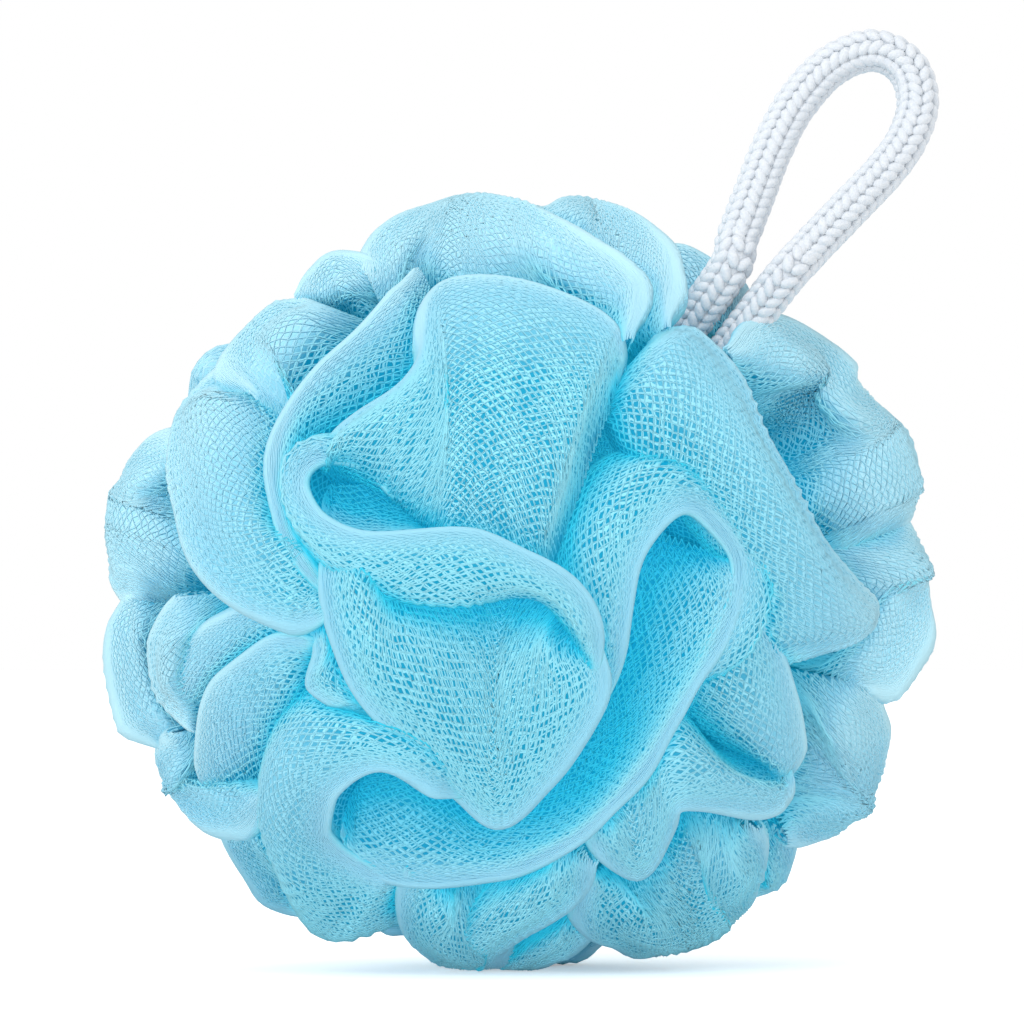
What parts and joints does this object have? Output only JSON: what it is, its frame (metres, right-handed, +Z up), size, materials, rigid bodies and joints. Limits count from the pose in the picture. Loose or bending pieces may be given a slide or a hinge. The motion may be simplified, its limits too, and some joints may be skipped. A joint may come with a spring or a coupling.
{
  "type": "bath sponge",
  "caption": "Round bath sponge of ruffled pale blue netting, gathered and tied at its middle, with a white braided rope loop to hang it by.",
  "frame": {"origin": "middle of the underside, on the surface that the sponge stands on", "axes": "+Z up, +X to the right as seen from the front, which is the side that faces -Y; the hanging loop leans to +X"},
  "size_m": [0.1182, 0.1096, 0.1336],
  "materials": {
    "netting": "open diamond netting in pale cyan blue, slightly translucent, satin threads",
    "rope": "white round braid, soft fibres",
    "thread": "white twisted thread"
  },
  "bodies": {
    "root": {"netting": "netting", "hanging_loop": "rope", "rope_knot": "rope", "tying_thread": "thread"}
  },
  "joints": []
}
